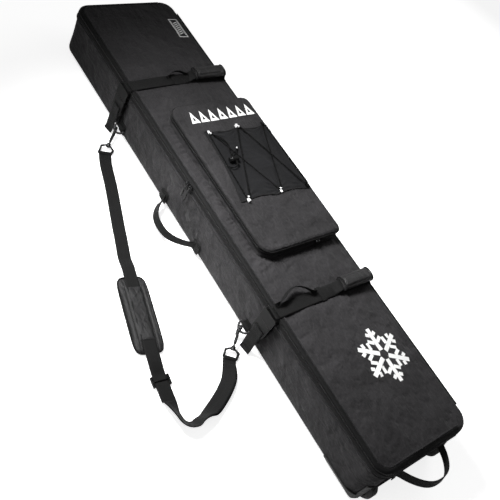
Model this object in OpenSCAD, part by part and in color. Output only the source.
// Wheeled snowboard bag, lying on its back with the front panel up.
// Frame: +X towards the wheel end, +Z out of the front panel, -Y is the side with
// the shoulder strap. Origin: centre of the underside of the middle skid rail.

/* [Bag] */
// Length of the bag, without handles and wheels
bag_l = 1640; // [1500:10:1800]
// Width of the bag
bag_w = 350; // [340:1:380]
// Height of the zip line above the ground
part_z = 160; // [150:1:175]
// Crown of the front panel above the zip line
crown = 12; // [8:1:16]
// Corner radius of the bag in plan
corner_r = 45; // [40:1:60]
// Radius of the long soft edges
edge_r = 22; // [18:1:26]

/* [Layers] */
// Outer fabric thickness
fabric_t = 2; // [1.5:0.1:2.5]
// Foam padding thickness
foam_t = 6; // [4:0.5:8]

/* [Wheels] */
// Wheel radius
wheel_r = 38; // [34:1:40]
// Wheel width
wheel_w = 30; // [24:1:34]
// Wheel centre, distance in from the end of the bag
wheel_in = 23; // [20:1:28]
// Wheel centre, distance either side of the middle
wheel_y = 130; // [120:1:132]
// Axle radius
axle_r = 4; // [3.5:0.5:4]

/* [Straps] */
// Width of the compression webbing
web_w = 40; // [36:1:42]
// Position of the upper compression strap
strap_u = -462; // [-480:1:-440]
// Position of the lower compression strap
strap_l = 343; // [330:1:350]
// Width of the shoulder webbing
sh_w = 38; // [34:1:40]
// Position of the upper D-ring
dring_u = -421; // [-425:1:-415]
// Position of the lower D-ring
dring_l = 304; // [298:1:306]

/* [Pocket] */
// Length of the front pocket
pocket_l = 530; // [500:1:540]
// Width of the front pocket
pocket_w = 290; // [270:1:292]
// Height of the pocket face above the ground
pocket_z = 205; // [202:1:210]

/* [Hidden] */
$fn = 48;

gap = 0.1;                        // clearance between touching pieces
part_gap = 0.4;                   // tub and lid edges, either side of the zip line
tape_gap = 0.3;                   // zip tape edges, either side of the zip line
tape_out = 1.2;                   // outer face of the zip tape, off the fabric
wall_t = fabric_t + foam_t;
base_z = 6;                       // underside of the fabric, carried by the skid rails
top_z = part_z + crown;           // crown of the front panel
half_w = bag_w / 2;
half_l = bag_l / 2;
panel_sag = 7;                    // drop of the front panel from its middle to its edges
crown_r = (half_w * half_w + panel_sag * panel_sag) / (2 * panel_sag);
crown_axis_z = top_z - crown_r;

wheel_x = half_l - wheel_in;
wheel_z = 40;
well_half = wheel_w / 2 + 6;      // half width of a wheel well
well_cut = 3.1;                   // how far the bag is cut back around a wheel well

strap_xs = [strap_u, strap_l];
strap_in = 1.4;                   // inner face of the compression straps, off the fabric
strap_out = 3.4;                  // outer face of the same
narrow_half = 19;                 // half width of the narrower webbing

side_handle_xs = [-158, 30];      // ends of the side handle
side_handle_z = 33;
end_handle_half = 86;             // half the span of the handle at the wheel end
end_handle_z = 118;
tow_handle_half = 52;             // half the span of the handle at the -X end
tow_handle_z = 100;

dring_y = -half_w - 9;
dring_z = 42;
dring_r = 19;                     // D-ring loop radius
dring_wire = 2;                   // D-ring wire radius
dring_slope = 33;                 // slope of a hanging D-ring below level

// ---------- shared shapes ----------
// rounded rectangle about the origin
module round_rect(length, width, radius) {
  square([length - 2 * radius, width], center = true);
  square([length, width - 2 * radius], center = true);
  for (sx = [-1, 1], sy = [-1, 1])
    translate([sx * (length / 2 - radius), sy * (width / 2 - radius)]) circle(radius);
}
// extrude a Y-Z section along X between two stations
module along_x(x0, x1) {
  translate([x0, 0, 0]) rotate([90, 0, 90]) linear_extrude(x1 - x0) children();
}
// extrude an X-Z section along Y between two stations
module along_y(y0, y1) {
  translate([0, y1, 0]) rotate([90, 0, 0]) linear_extrude(y1 - y0) children();
}
// box from corner to corner
module box(low, high) { translate(low) cube(high - low); }
module bar_x(x0, x1, y, z, radius) {
  translate([x0, y, z]) rotate([0, 90, 0]) cylinder(h = x1 - x0, r = radius);
}
module bar_y(y0, y1, x, z, radius) {
  translate([x, y1, z]) rotate([90, 0, 0]) cylinder(h = y1 - y0, r = radius);
}
// round rod between two points
module rod(from, to, radius) {
  span = to - from;
  length = norm(span);
  translate(from) rotate([0, acos(span[2] / length), atan2(span[1], span[0])])
    cylinder(h = length, r = radius);
}

// side outline of the bag, seen along X or Y
module side_outline(length, off) {
  translate([0, (base_z + top_z) / 2])
    round_rect(length + 2 * off, top_z - base_z + 2 * off, edge_r + off);
}
// cross-section of the bag, crowned on top
module section(off) {
  intersection() {
    translate([0, crown_axis_z]) circle(crown_r + off, $fn = 1440);
    side_outline(bag_w, off);
  }
}
// closed bag grown outward by off; the child is its plan, already grown
module form(off) {
  intersection() {
    along_x(-half_l - off - 1, half_l + off + 1) section(off);
    translate([0, 0, -5]) linear_extrude(top_z + 40) children();
    along_y(-half_w - off - 1, half_w + off + 1) side_outline(bag_l, off);
  }
}
module bag_form(off) {
  form(off) round_rect(bag_l + 2 * off, bag_w + 2 * off, corner_r + off);
}
// the same form with its wheel-end plan corners made of short flats, for the moulded tray
module tray_form(off) {
  flats = 14;
  radius = corner_r + off;
  cx = half_l - corner_r;
  cy = half_w - corner_r;
  form(off) polygon(concat(
    [[-half_l, -half_w - off]],
    [for (i = [0:flats]) [cx + radius * sin(i * 90 / flats), -cy - radius * cos(i * 90 / flats)]],
    [for (i = [0:flats]) [cx + radius * cos(i * 90 / flats), cy + radius * sin(i * 90 / flats)]],
    [[-half_l, half_w + off]]));
}
// layer of the bag wall between two offsets
module layer(outer, inner) {
  difference() {
    bag_form(outer);
    bag_form(inner);
  }
}
module above(z) { box([-half_l - 60, -half_w - 60, z], [half_l + 60, half_w + 60, 300]); }
module below(z) { box([-half_l - 60, -half_w - 60, -20], [half_l + 60, half_w + 60, z]); }
module wells(off) {
  for (side = [-1, 1])
    box([wheel_x - wheel_r - 6 - off, side * wheel_y - well_half - off, -20],
      [half_l + 60, side * wheel_y + well_half + off, wheel_z + wheel_r + 5 + off]);
}
module tub_layer(outer, inner) {
  difference() {
    intersection() {
      layer(outer, inner);
      below(part_z - part_gap);
    }
    wells(well_cut);
  }
}
module lid_layer(outer, inner) {
  intersection() {
    layer(outer, inner);
    above(part_z + part_gap);
  }
}
// part of the outline that has a zip: the strap side and both ends
module zip_reach() { box([-half_l - 10, -half_w - 10, 0], [half_l + 10, 128, 300]); }

// ---------- tub ----------
module outer_shell() { color("#3a3a3c") tub_layer(0, -fabric_t); }
module tub_foam() {
  floor_z = base_z + wall_t + 0.3;
  color("#5b5b5e") difference() {
    tub_layer(-fabric_t - gap, -wall_t);
    base_board_form(gap);
    // cut into a floor, two side pads and two end pads
    box([-half_l - 5, -half_w - 5, floor_z], [half_l + 5, half_w + 5, floor_z + 0.15]);
    for (end = [-1, 1])
      box([end * (half_l - 47) - 0.08, -half_w - 5, floor_z + 0.1],
        [end * (half_l - 47) + 0.08, half_w + 5, part_z + 5]);
  }
}
module tub_lining() { color("#4c4f55") tub_layer(-wall_t - gap, -wall_t - 1.1); }
module base_board_form(off) {
  translate([-30, 0, base_z + fabric_t + 0.2 - off]) linear_extrude(3 + 2 * off)
    round_rect(bag_l - 150 + 2 * off, bag_w - 70 + 2 * off, 30 + off);
}
module base_board() { color("#1d1d1f") base_board_form(0); }
// three rails with the undersides of their ends bevelled
module skid_rails() {
  rail_x = -60;
  color("#151516") for (y = [-105, 0, 105]) difference() {
    translate([rail_x, y, 0]) linear_extrude(base_z - gap) round_rect(1240, 16, 7.9);
    for (end = [-1, 1])
      translate([rail_x + end * 625, y, -2]) rotate([0, end * 20, 0])
        cube([30, 20, 8], center = true);
  }
}

screw_points = [[711, -140], [711, -50], [711, 50], [711, 140],
  [half_l - 60, -80], [half_l - 60, 80]];
// oval vents in the underside between the wheels
module tray_vents() {
  for (i = [-3:3])
    translate([half_l - 92 + abs(i) * 5, i * 26, -2]) rotate([0, 0, 90 - i * 6])
      linear_extrude(8) {
        square([11, 8], center = true);
        for (end = [-1, 1]) translate([end * 5.5, 0]) circle(4);
      }
}
// moulded corner tray around the wheels
module wheel_tray() {
  boss_y = well_half - 1.2;
  color("#2a2a2c") difference() {
    union() {
      difference() {
        union() {
          intersection() {
            difference() {
              tray_form(3);
              bag_form(gap);
            }
            union() {
              box([690, -half_w - 5, 0], [half_l + 5, half_w + 5, 27]);
              box([half_l - 12.5, -161, 0], [half_l + 5, 161, 84]);
            }
          }
          intersection() {
            wells(3);
            tray_form(1.5);
          }
        }
        wells(0);
      }
      // axle bosses on the well walls
      for (s = [-1, 1], t = [-1, 1])
        bar_y(s * wheel_y + t * boss_y - 1.8, s * wheel_y + t * boss_y + 1.8,
          wheel_x, wheel_z, 9);
    }
    for (side = [-1, 1])
      bar_y(side * wheel_y - 40, side * wheel_y + 40, wheel_x, wheel_z, axle_r + 0.03);
    tray_vents();
    for (p = screw_points) translate([p[0], p[1], 0]) cylinder(h = 12, r = 2.6);
  }
}
module tray_screws() {
  color("#8c8f94") for (p = screw_points) translate([p[0], p[1], 0]) {
    // head with a hexagonal socket
    difference() {
      translate([0, 0, 1.2]) cylinder(h = 1.7, r = 4.5);
      cylinder(h = 2, r = 1.8, $fn = 6);
    }
    translate([0, 0, 2.9]) cylinder(h = 2.9, r = 2.5);
  }
}
// axles, each with a small blind hole in its -Y end
module axles() {
  color("#b9bcc0") for (side = [-1, 1]) difference() {
    bar_y(side * wheel_y - well_half - 2.5, side * wheel_y + well_half + 2.5,
      wheel_x, wheel_z, axle_r);
    bar_y(side * wheel_y - well_half - 4, side * wheel_y - well_half + 2,
      wheel_x, wheel_z, 1.6);
  }
}
module tub_zip_tape() {
  color("#1b1b1c") intersection() {
    layer(tape_out, gap);
    box([-half_l - 10, -half_w - 10, part_z - 14],
      [half_l + 10, half_w + 10, part_z - tape_gap]);
    zip_reach();
  }
}
module hinge_strip() {
  color("#232325") box([-half_l + 60, half_w + gap, part_z - 12],
    [half_l - 60, half_w + 1.3, part_z - part_gap]);
}
// patches that hold the D-rings and the ends of the handles
module sewn_tabs() {
  patch_t = 1.6;
  color("#202021") {
    for (x = [dring_u, dring_l]) difference() {
      union() {
        box([x - 14, -half_w - 2, dring_z - 22], [x + 14, -half_w - gap, dring_z + 14]);
        box([x - 14, dring_y, dring_z - 4], [x + 14, -half_w - 1, dring_z + 4]);
        bar_x(x - 14, x + 14, dring_y, dring_z, 4);
      }
      bar_x(x - 15, x + 15, dring_y, dring_z, dring_wire + 0.05);
    }
    for (x = side_handle_xs)
      along_y(-half_w - patch_t, -half_w - gap)
        translate([x, side_handle_z]) round_rect(34, 40, 5);
    for (side = [-1, 1]) {
      along_x(half_l + gap, half_l + patch_t)
        translate([side * end_handle_half, end_handle_z]) round_rect(32, 44, 5);
      along_x(-half_l - patch_t, -half_l - gap)
        translate([side * tow_handle_half, tow_handle_z]) round_rect(40, 34, 5);
    }
  }
}
module tub_straps() {
  color("#242425") for (x = strap_xs) {
    x0 = x - web_w / 2;
    x1 = x + web_w / 2;
    intersection() {
      along_x(x0, x1) difference() {
        section(strap_out);
        section(strap_in);
      }
      union() {
        box([-half_l, -half_w - 10, 34], [half_l, -half_w + 10, 70]);
        box([-half_l, half_w - 10, 34], [half_l, half_w + 10, part_z - 13]);
      }
    }
    // lower ends against the fabric
    box([x0, -half_w - 1.5, 36], [x1, -half_w - gap, 50]);
    box([x0, half_w + gap, 36], [x1, half_w + 1.5, 50]);
  }
}

// ties across the floor inside the tub
tie_xs = [-380, 260];
tie_z = base_z + wall_t + 1.3;
module inner_tie_straps() {
  color("#2b2b2d") for (x = tie_xs, y0 = [-140, 36])
    box([x - narrow_half, y0, tie_z], [x + narrow_half, y0 + 104, tie_z + 1.6]);
}
module inner_tie_buckles() {
  slot_half = narrow_half + 0.5;
  color("#141415") for (x = tie_xs) difference() {
    translate([x, 0, tie_z]) linear_extrude(9) round_rect(48, 71, 6);
    for (y0 = [-33, 21])
      box([x - slot_half, y0, tie_z - 1], [x + slot_half, y0 + 12, tie_z + 10]);
  }
}

// ---------- lid ----------
module lid_fabric() { color("#424245") lid_layer(0, -fabric_t); }
module lid_foam() { color("#5b5b5e") lid_layer(-fabric_t - gap, -wall_t); }
module lid_zip_tape() {
  lip = 16;      // how far the tape reaches in over the panel
  extra_y = 120; // carries the opening past the hinge side
  color("#1b1b1c") difference() {
    intersection() {
      layer(tape_out, gap);
      above(part_z + tape_gap);
      zip_reach();
    }
    linear_extrude(300) translate([0, extra_y / 2])
      round_rect(bag_l - 2 * lip, bag_w - 2 * lip + extra_y, corner_r - lip);
  }
}

grip_y = 107;
grip_l = 112;
grip_z = 189;
// section of the raised carrying loop: y and z from the middle of the grip
carry_loop = [[-79, -14.8], [-60, -1.2], [60, -1.2], [64.6, -21.4],
  [67, -21.2], [62, 1.2], [-61, 1.2], [-81, -13.6]];
module lid_straps() {
  color("#242425") for (x = strap_xs) {
    x0 = x - web_w / 2;
    x1 = x + web_w / 2;
    intersection() {
      along_x(x0, x1) translate([0, crown_axis_z]) difference() {
        circle(crown_r + strap_out, $fn = 1440);
        circle(crown_r + strap_in, $fn = 1440);
      }
      box([-half_l, -half_w + 6, part_z], [half_l, half_w + 2.2, 300]);
    }
    // end that folds down over the far edge
    box([x0 + 0.5, half_w + 1, part_z + 3], [x1 - 0.5, half_w + 3, part_z + 7.2]);
    // end that folds over the top of the buckle socket
    box([x - narrow_half, -half_w - 12, part_z + 7.15],
      [x + narrow_half, -half_w + 9, part_z + 9.1]);
    // raised carrying loop that runs through the grip
    along_x(x - narrow_half, x + narrow_half) translate([grip_y, grip_z]) polygon(carry_loop);
    // keeper that gathers the strap end
    difference() {
      box([x - 24, -24, top_z + 0.6], [x + 24, -6, top_z + 6]);
      box([x - 21.5, -30, top_z - 4], [x + 21.5, 0, top_z + 3.8]);
    }
  }
}
module hand_grips() {
  color("#303032") for (x = strap_xs) difference() {
    along_y(grip_y - grip_l / 2, grip_y + grip_l / 2)
      translate([x, grip_z]) round_rect(48, 25, 12.4);
    box([x - 19.6, grip_y - 80, grip_z - 1.5], [x + 19.6, grip_y + 80, grip_z + 1.5]);
  }
}

// six-armed snow crystal
module crystal(radius, arm_w) {
  twig_w = arm_w * 0.8;
  for (i = [0:5]) rotate(i * 60) {
    translate([0, -arm_w / 2]) square([radius, arm_w]);
    // side twigs, k is their place along the arm
    for (side = [-1, 1], k = [0.42, 0.7])
      translate([radius * k, 0]) rotate(side * 58)
        translate([0, -twig_w / 2]) square([radius * (0.52 - 0.38 * k), twig_w]);
  }
  difference() {
    circle(radius * 0.24, $fn = 6);
    circle(radius * 0.13, $fn = 6);
  }
}
// framed badge with three slanted bars
module badge() {
  difference() {
    round_rect(76, 30, 2);
    round_rect(71, 25, 1);
  }
  for (i = [-1:1]) translate([i * 16, 0]) rotate(30) square([3, 20], center = true);
}
module front_prints() {
  color("white") intersection() {
    along_x(-half_l, half_l) difference() {
      section(0.7);
      section(gap);
    }
    union() {
      translate([572, 58, 100]) linear_extrude(100) crystal(74, 11);
      translate([-684, 138, 100]) linear_extrude(100) badge();
    }
  }
}

// ---------- pocket ----------
pocket_x = -70;
pocket_y = 23;
pocket_end_x = pocket_x + pocket_l / 2;
face_z = pocket_z - 8.4;          // where the gusset meets the face
module pocket_plan(off) {
  translate([pocket_x, pocket_y])
    round_rect(pocket_l + 2 * off, pocket_w + 2 * off, 38 + off);
}
module pocket_gusset() {
  color("#38383a") difference() {
    translate([0, 0, part_z]) linear_extrude(face_z - 1 - part_z) difference() {
      pocket_plan(0);
      pocket_plan(-3);
    }
    along_x(-500, 400) section(gap);
  }
}
module pocket_zip_tape() {
  color("#161617") translate([0, 0, face_z - 12]) intersection() {
    linear_extrude(10.5) difference() {
      pocket_plan(1.3);
      pocket_plan(gap);
    }
    box([-500, -300, -1], [400, 120, 20]);
  }
}
module pocket_face() {
  color("#434346") intersection() {
    translate([0, 0, face_z - 0.6]) linear_extrude(9) pocket_plan(0);
    along_x(-500, 400) translate([pocket_y, pocket_z - 20]) round_rect(pocket_w, 40, 8);
    along_y(-300, 300) translate([pocket_x, pocket_z - 20]) round_rect(pocket_l, 40, 8);
  }
}

pull_pin_x = pocket_end_x + 8;
pull_pin_z = face_z - 4;
module pocket_slider() {
  color("#151517") difference() {
    union() {
      box([pocket_end_x + 1.5, 64, face_z - 7.5], [pocket_end_x + 5.7, 78, face_z - 0.7]);
      for (y0 = [65.2, 74.2])
        box([pocket_end_x + 5, y0, face_z - 7], [pocket_end_x + 10, y0 + 2.6, face_z - 1]);
    }
    bar_y(60, 82, pull_pin_x, pull_pin_z, 1.05);
  }
}
module pocket_pull() {
  color("#0d0d0e") {
    bar_y(64.8, 77.2, pull_pin_x, pull_pin_z, 1);
    bar_y(69, 73, pull_pin_x, pull_pin_z, 2);
    box([pull_pin_x - 1, 69, pull_pin_z - 20], [pull_pin_x + 1, 73, pull_pin_z]);
  }
}
// column of seven arrowheads, each with an arrowhead hole
module pocket_print() {
  color("white") for (i = [0:6])
    translate([-284, -66 + i * 34, pocket_z + gap]) linear_extrude(0.6) difference() {
      polygon([[22, -15], [-22, 0], [22, 15]]);
      polygon([[13, -5.5], [-4, 0], [13, 5.5]]);
    }
}

// ---------- mesh and lacing on the pocket ----------
// outline of the mesh: x, y
mesh_outline = [[-226, -62], [-212, 160], [36, 160], [26, -92], [-60, -84], [-150, -72]];
// cord loops: x, y; three on the -X edge of the mesh, then three on the +X edge
loop_points = [[-214, -50], [-218, 54], [-212, 150], [22, -70], [18, 54], [24, 150]];
// cord legs: loop and end left (-1 or 1 along Y), then loop and end reached
cord_legs = [[0, 1, 4, -1], [4, 1, 2, -1], [2, 1, 5, 1],
  [5, -1, 1, 1], [1, -1, 3, 1], [3, -1, 0, -1]];
// runs of cord through and beside the lock, from its middle: from, to
cord_tails = [[[-22, 0, 0], [16, 0, 0]], [[-80, 30, 0], [-26.5, 1.5, 0]],
  [[19, -3, 0], [38, -17, 0]]];
cord_r = 1.8;
cord_z = pocket_z + 4.6;
lock = [-108, -34, pocket_z + 10.6]; // middle of the cord lock
// which way a loop's tab points along X
function loop_side(p) = p[0] < -100 ? -1 : 1;
// every second point rides higher, so that crossing cords pass over each other
function cord_at(i, end) =
  [loop_points[i][0], loop_points[i][1] + end * 5, cord_z + (i % 2) * 4.2];

module pocket_mesh() {
  color("#1c1c1f") difference() {
    translate([0, 0, pocket_z + gap]) linear_extrude(1.2) polygon(mesh_outline);
    for (p = loop_points)
      translate([p[0] + loop_side(p) * 8, p[1], pocket_z]) cube([24, 12, 8], center = true);
  }
}
module bungee_cord() {
  color("#0e0e10") {
    for (i = [0:5]) {
      rod(cord_at(i, -1), cord_at(i, 1), cord_r);
      for (end = [-1, 1]) translate(cord_at(i, end)) sphere(cord_r + 0.2, $fn = 24);
    }
    for (leg = cord_legs) rod(cord_at(leg[0], leg[1]), cord_at(leg[2], leg[3]), cord_r);
    for (tail = cord_tails) rod(lock + tail[0], lock + tail[1], cord_r);
  }
}
module bungee_loops() {
  color("white") for (i = [0:5]) {
    p = cord_at(i, 0);
    reach = loop_side(p) * 12;
    difference() {
      union() {
        bar_y(p[1] - 2.9, p[1] + 2.9, p[0], p[2], 3.2);
        box([p[0] + min(0, reach), p[1] - 2.9, pocket_z + gap],
          [p[0] + max(0, reach), p[1] + 2.9, p[2] - 0.8]);
      }
      bar_y(p[1] - 4, p[1] + 4, p[0], p[2], cord_r + 0.15);
      box([p[0] - 20, p[1] - 4, pocket_z - 5], [p[0] + 20, p[1] + 4, pocket_z + gap]);
    }
  }
}
// cord lock: barrel along Y, open at -Y, with a spring and a push button
module cord_lock_barrel() {
  color("#0c0c0d") difference() {
    translate(lock) rotate([90, 0, 0]) union() {
      cylinder(h = 22, r = 8, center = true);
      translate([0, 0, 10.9]) cylinder(h = 2, r1 = 8, r2 = 6.4);
    }
    translate(lock + [0, -3, 0]) rotate([90, 0, 0]) cylinder(h = 23, r = 6.3, center = true);
    translate(lock) rotate([0, 90, 0]) cylinder(h = 30, r = cord_r + 0.25, center = true);
  }
}
module cord_lock_button() {
  color("#0c0c0d") difference() {
    translate(lock + [0, -8.5, 0]) rotate([90, 0, 0]) cylinder(h = 17, r = 6.22, center = true);
    // slot for the cord, longer than the travel
    translate(lock + [-10, -5.3, -2.4]) cube([20, 11.6, 4.8]);
  }
}
// two rings stand for the coils
module cord_lock_spring() {
  color("#c4c6c8") for (i = [0:1])
    translate(lock + [0, 4 + 2 * i, 0]) rotate([90, 0, 0])
      rotate_extrude() translate([4.2, 0]) circle(0.55);
}

// ---------- main zip sliders ----------
slide_a = -98;
slide_b = -82;
pull_y = -half_w - 8.2;           // pin that carries the pull
pull_z = part_z - 1.5;
module slider_at(x) {
  color("#19191b") difference() {
    union() {
      along_y(-half_w - 6, -half_w - 1.4) translate([x, part_z]) round_rect(13, 11, 3);
      for (side = [-1, 1])
        box([x + side * 3.4 - 1, pull_y - 1.8, part_z - 3.5],
          [x + side * 3.4 + 1, -half_w - 5, part_z + 1]);
    }
    bar_x(x - 8, x + 8, pull_y, pull_z, 1.05);
  }
}
module pull_at(x) {
  color("#0d0d0e") {
    bar_x(x - 4.3, x + 4.3, pull_y, pull_z, 1);
    bar_x(x - 2.2, x + 2.2, pull_y, pull_z, 2);
    box([x - 1.6, pull_y - 1.2, part_z - 30], [x + 1.6, pull_y + 1.2, pull_z]);
    box([x - 3, pull_y - 1.8, part_z - 46], [x + 3, pull_y + 1.8, part_z - 29]);
  }
}
module zip_slider_a() { slider_at(slide_a); }
module zip_slider_b() { slider_at(slide_b); }
module zip_pull_a() { pull_at(slide_a); }
module zip_pull_b() { pull_at(slide_b); }

// ---------- side-release buckles ----------
socket_y0 = -half_w - 15.5;
socket_y1 = -half_w - 3.6;
socket_z0 = part_z - 32;
socket_z1 = part_z + 6;
clip_y0 = socket_y0 - 0.4;        // outer face of the clip
module buckle_sockets() {
  color("#111112") for (x = strap_xs) difference() {
    along_y(socket_y0, socket_y1)
      translate([x, (socket_z0 + socket_z1) / 2]) round_rect(52, socket_z1 - socket_z0, 5);
    box([x - 21.5, socket_y0 + 2, socket_z0 - 1], [x + 21.5, socket_y1 - 2, socket_z0 + 25]);
    for (side = [-1, 1])
      box([x + side * 23.5 - 4, socket_y0 + 2, socket_z0 + 6],
        [x + side * 23.5 + 4, socket_y1 - 2, socket_z0 + 20]);
  }
}
// one prong from the clip up into the socket
module prong(x, half, reach) {
  box([x - half, socket_y0 + 2.8, socket_z0 - 2], [x + half, socket_y1 - 2.8, socket_z0 + reach]);
}
module clip_at(x) {
  color("#111112") difference() {
    union() {
      along_y(clip_y0, socket_y1) translate([x, socket_z0 - 27.2]) round_rect(50, 53, 4);
      prong(x, 5, 21);
      for (side = [-1, 1]) prong(x + side * 16, 4, 22);
    }
    // webbing slots
    for (drop = [46, 33])
      box([x - 20, clip_y0 - 1, socket_z0 - drop],
        [x + 20, socket_y1 + 1, socket_z0 - drop + 6]);
  }
}
module tail_at(x) {
  color("#242425") box([x - narrow_half, clip_y0 - 2.6, 31],
    [x + narrow_half, clip_y0 - 0.3, socket_z0 - 26]);
}
module buckle_clip_upper() { clip_at(strap_u); }
module buckle_clip_lower() { clip_at(strap_l); }
module strap_tail_upper() { tail_at(strap_u); }
module strap_tail_lower() { tail_at(strap_l); }

// ---------- shoulder strap ----------
strap_z = 4.9;                    // middle of the shoulder webbing
hook_len = 80;                    // from the D-ring wire to the strap bar
hook_yaw = -45;
// outermost point of a D-ring, where its hook hangs
function apex(x) =
  [x, dring_y - dring_r * cos(dring_slope), dring_z - dring_r * sin(dring_slope)];
apex_u = apex(dring_u);
apex_l = apex(dring_l);
hook_pitch = asin((apex_u[2] - strap_z) / hook_len);
// point at a distance along a hook and to one side of it
function hook_point(start, along, across = 0) = start
  + along * [cos(hook_pitch) * cos(hook_yaw), cos(hook_pitch) * sin(hook_yaw), -sin(hook_pitch)]
  + across * [-sin(hook_yaw), cos(hook_yaw), 0];
bar_u = hook_point(apex_u, hook_len);
bar_l = hook_point(apex_l, hook_len);

// centre line of the webbing on the ground: x, y
pad_a = [20, -386];
pad_b = [296, -456];
adjuster_end = [436, -475];
turn_centre = [452, -444];
turn_r = 27;
// straight runs joined by the turn at the low end
line = concat(
  [[bar_u[0], bar_u[1]], [-338, -267], [-310, -277], [-262, -291], [-166, -324], [-63, -359]],
  [pad_a, pad_b, adjuster_end],
  [for (i = [-70:20:50]) turn_centre + [cos(i), sin(i)] * turn_r],
  [[462, -385], [428, -322], [393, -279], [bar_l[0], bar_l[1]]]);
last = len(line) - 1;

function unit(v) = v / norm(v);
function yaw_of(v) = atan2(v[1], v[0]);
function heading(path, i) = unit((i < len(path) - 1 ? unit(path[i + 1] - path[i]) : [0, 0])
  + (i > 0 ? unit(path[i] - path[i - 1]) : [0, 0]));
function mitre(path, i) = i == 0 || i == len(path) - 1 ? 1
  : 1 / max(0.5, heading(path, i) * unit(path[i + 1] - path[i]));
function edge(path, i, off) =
  path[i] + [-heading(path, i)[1], heading(path, i)[0]] * off * mitre(path, i);
module ribbon(path, width) {
  n = len(path);
  polygon(concat([for (i = [0:n - 1]) edge(path, i, width / 2)],
    [for (i = [n - 1:-1:0]) edge(path, i, -width / 2)]));
}
yaw_u = yaw_of(line[1] - line[0]);
yaw_l = yaw_of(line[last] - line[last - 1]);

// frame with +X along the direction given
module on_ground(point, direction, z) {
  translate([point[0], point[1], z]) rotate([0, 0, yaw_of(direction)]) children();
}
// frames at the two strap bars, +X along the webbing
module at_strap_ends() {
  for (end = [[bar_u, yaw_u], [bar_l, yaw_l]])
    translate([end[0][0], end[0][1], strap_z]) rotate([0, 0, end[1]]) children();
}
module shoulder_webbing() {
  web_t = 2.5;
  color("#2e2e30") difference() {
    union() {
      translate([0, 0, strap_z - web_t / 2]) linear_extrude(web_t) ribbon(line, sh_w);
      at_strap_ends() bar_y(-15, 15, 0, 0, 4.8);
    }
    // bore for the bar, and room for the wires either side
    at_strap_ends() {
      bar_y(-30, 30, 0, 0, 2.2);
      for (side = [-1, 1]) translate([-6, side * 20 - 5, -10]) cube([12, 10, 20]);
    }
  }
}
module shoulder_pad() {
  color("#303033") on_ground((pad_a + pad_b) / 2, pad_b - pad_a, 0.7) difference() {
    linear_extrude(13.5) round_rect(228, 82, 26);
    translate([0, 0, strap_z - 0.7]) cube([240, sh_w + 0.8, 3.3], center = true);
  }
}
module strap_adjuster() {
  run = unit(adjuster_end - pad_b);
  color("#101011") on_ground(pad_b + run * 48, run, strap_z) {
    for (side = [-1, 1])
      box([-14, side * 22.3 - 2.5, -3.6], [14, side * 22.3 + 2.5, 3.6]);
    for (x = [-12, 12]) bar_y(-22, 22, x, -2.5, 1.15);
    bar_y(-22, 22, 0, 3, 1.6);
  }
}

// local frame of a hook: +X from the D-ring wire along the hook
module hook_frame(start) { translate(start) rotate([0, hook_pitch, hook_yaw]) children(); }
// swivel collar and the wire frame that carries the webbing
module eye(start, web_yaw) {
  wire_r = 1.7;
  joint_r = 1.95;
  bend = [62, 19]; // where the frame turns towards the bar: along, across
  hook_frame(start) {
    difference() {
      bar_x(47, 56, 0, 0, 5.5);
      bar_x(46, 57, 0, 0, 2.56);
      bar_x(52.4, 56.4, 0, 0, 4.1);
    }
    for (side = [-1, 1]) {
      rod([53, side * 5, 0], [bend[0], side * bend[1], 0], wire_r);
      translate([bend[0], side * bend[1], 0]) sphere(joint_r);
    }
  }
  bar = hook_point(start, hook_len);
  // side wires down to the strap bar
  for (side = [-1, 1]) {
    bar_end = bar + [-sin(web_yaw), cos(web_yaw), 0] * side * 18;
    rod(hook_point(start, bend[0], side * bend[1]), bar_end, wire_r);
    translate(bar_end) sphere(joint_r);
  }
  translate(bar) rotate([0, 0, web_yaw]) bar_y(-18, 18, 0, 0, wire_r);
}
module swivel_eyes() {
  color("#9a9ca0") {
    eye(apex_u, yaw_u);
    eye(apex_l, yaw_l + 180);
  }
}

gate_pivot = [24.5, 0, 3.4];      // in the hook frame
// snap hook: open bow, shank and swivel pin; the gate closes the bow
module hook_at(start) {
  color("#8f9195") hook_frame(start) {
    difference() {
      union() {
        translate([3.6, 0, 0]) rotate([90, 0, 0]) rotate([0, 0, 115])
          rotate_extrude(angle = 265) translate([12.6, 0]) circle(2.4);
        bar_x(14, 39.5, 0, 0, 4.2);
      }
      // slot for the gate
      translate([9, -1.9, 1]) cube([18.7, 3.8, 9]);
    }
    bar_x(39, 54, 0, 0, 2.5);
    bar_x(52.6, 55, 0, 0, 4);
    bar_y(-3.2, 3.2, gate_pivot[0], gate_pivot[2], 1);
  }
}
module gate_at(start) {
  thumb = [29, 0, 9];
  color("#a9abaf") hook_frame(start) difference() {
    union() {
      bar_y(-1.6, 1.6, gate_pivot[0], gate_pivot[2], 2.2);
      rod(gate_pivot + [-1, 0, 1.4], [0.1, 0, 12], 1.5);
      rod(gate_pivot, thumb, 1.4);
      translate(thumb) sphere(1.7);
    }
    bar_y(-4, 4, gate_pivot[0], gate_pivot[2], 1.06);
  }
}
module d_ring_at(x) {
  color("#8f9195") translate([x, dring_y, dring_z]) rotate([180 + dring_slope, 0, 0]) {
    bar_x(-dring_r, dring_r, 0, 0, dring_wire);
    rotate_extrude(angle = 180) translate([dring_r, 0]) circle(dring_wire);
    for (side = [-1, 1]) translate([side * dring_r, 0, 0]) sphere(dring_wire + 0.25);
  }
}
module hook_upper() { hook_at(apex_u); }
module hook_lower() { hook_at(apex_l); }
module gate_upper() { gate_at(apex_u); }
module gate_lower() { gate_at(apex_l); }
module d_ring_upper() { d_ring_at(dring_u); }
module d_ring_lower() { d_ring_at(dring_l); }

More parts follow.
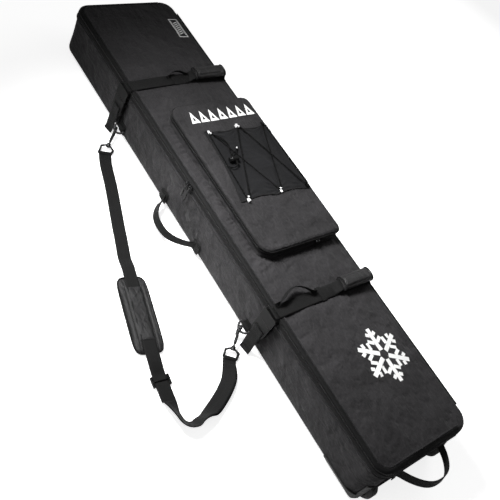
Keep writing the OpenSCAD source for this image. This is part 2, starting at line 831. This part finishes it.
// ---------- handles ----------
// flat loop in the XY plane, chord on y = 0, bulging to -Y, with a round pad at each end
module loop_handle(half, depth, width, thick) {
  arc_r = (half * half + depth * depth) / (2 * depth);
  translate([0, 0, -width / 2]) linear_extrude(width) intersection() {
    translate([0, arc_r - depth]) difference() {
      circle(arc_r + thick / 2, $fn = 160);
      circle(arc_r - thick / 2, $fn = 160);
    }
    translate([-half - 60, -depth - 20]) square([2 * half + 120, depth + 20]);
  }
  for (side = [-1, 1])
    translate([side * half, 0, 0]) rotate([0, 90, 0])
      cylinder(h = thick, r = width / 2, center = true);
}
module side_handle() {
  x0 = side_handle_xs[0];
  x1 = side_handle_xs[1];
  color("#232324") translate([(x0 + x1) / 2, -half_w - 14.5, side_handle_z])
    loop_handle((x1 - x0) / 2, 54, 25, 3);
}
module end_handle() {
  color("#232324") translate([half_l + 16, 0, end_handle_z]) rotate([0, -14, 0])
    rotate([0, 0, 90]) loop_handle(end_handle_half, 56, 28, 3.4);
}
module tow_handle() {
  color("#232324") translate([-half_l - 15, 0, tow_handle_z])
    rotate([0, 0, -90]) loop_handle(tow_handle_half, 30, 25, 5);
}

// ---------- wheels ----------
// side is -1 for the left wheel at -Y, 1 for the right wheel at +Y
module on_wheel(side) {
  translate([wheel_x, side * wheel_y, wheel_z]) rotate([90, 0, 0]) children();
}
module tyre(side) {
  half = wheel_w / 2;
  bore_r = 24.2;
  color("#101011") on_wheel(side) difference() {
    rotate_extrude() difference() {
      union() {
        translate([wheel_r - 13, 0]) intersection() {
          circle(15.4);
          translate([0, -half]) square([13, 2 * half]);
        }
        translate([bore_r, -half + 2]) square([4, 2 * half - 4]);
      }
      translate([20, -half]) square([bore_r - 20, 2 * half]);
    }
    // slanted tread grooves
    for (i = [0:17], m = [-1, 1])
      rotate([0, 0, i * 20 + m * 5]) translate([wheel_r, 0, m * 8.5]) rotate([m * 28, 0, 0])
        cube([3.6, 2.2, 15], center = true);
  }
}
module hub(side) {
  half = wheel_w / 2 - 2.5;
  // half profile: radius, distance from the middle along the axle
  profile = [[9, 3], [11.02, 3], [11.02, half - 2], [13, half - 2], [14, half - 4.5],
    [20, half - 4.5], [21.5, half], [24.1, half]];
  mirrored = [for (i = [len(profile) - 1:-1:0]) [profile[i][0], -profile[i][1]]];
  color("#1a1a1c") on_wheel(side) difference() {
    rotate_extrude() polygon(concat(profile, mirrored));
    for (i = [0:11], m = [-1, 1])
      rotate([0, 0, i * 30]) translate([17, 0, m * (half - 4)])
        cylinder(h = 6, r = 1.9, center = true);
  }
}
module bearings(side) {
  width = 7;
  color("#c3c6c9") on_wheel(side) for (m = [-1, 1])
    translate([0, 0, m * 6.55 - width / 2]) difference() {
      cylinder(h = width, r = 11);
      translate([0, 0, -1]) cylinder(h = width + 2, r = axle_r + 0.05);
      // ring grooves in both faces
      for (z = [-0.6, 6.2]) translate([0, 0, z]) difference() {
        cylinder(h = 1.4, r = 9);
        translate([0, 0, -1]) cylinder(h = 4, r = 6.4);
      }
    }
}
module tyre_left() { tyre(-1); }
module hub_left() { hub(-1); }
module bearings_left() { bearings(-1); }
module tyre_right() { tyre(1); }
module hub_right() { hub(1); }
module bearings_right() { bearings(1); }

outer_shell();
tub_foam();
tub_lining();
base_board();
skid_rails();
wheel_tray();
axles();
tray_screws();
tub_zip_tape();
hinge_strip();
sewn_tabs();
tub_straps();
inner_tie_straps();
inner_tie_buckles();
lid_fabric();
lid_foam();
lid_zip_tape();
lid_straps();
hand_grips();
buckle_sockets();
front_prints();
pocket_gusset();
pocket_zip_tape();
pocket_slider();
pocket_pull();
pocket_face();
pocket_mesh();
bungee_cord();
bungee_loops();
pocket_print();
cord_lock_barrel();
cord_lock_spring();
cord_lock_button();
zip_slider_a();
zip_pull_a();
zip_slider_b();
zip_pull_b();
buckle_clip_upper();
strap_tail_upper();
buckle_clip_lower();
strap_tail_lower();
shoulder_webbing();
shoulder_pad();
strap_adjuster();
swivel_eyes();
hook_upper();
hook_lower();
gate_upper();
gate_lower();
d_ring_upper();
d_ring_lower();
side_handle();
end_handle();
tow_handle();
tyre_left();
hub_left();
bearings_left();
tyre_right();
hub_right();
bearings_right();
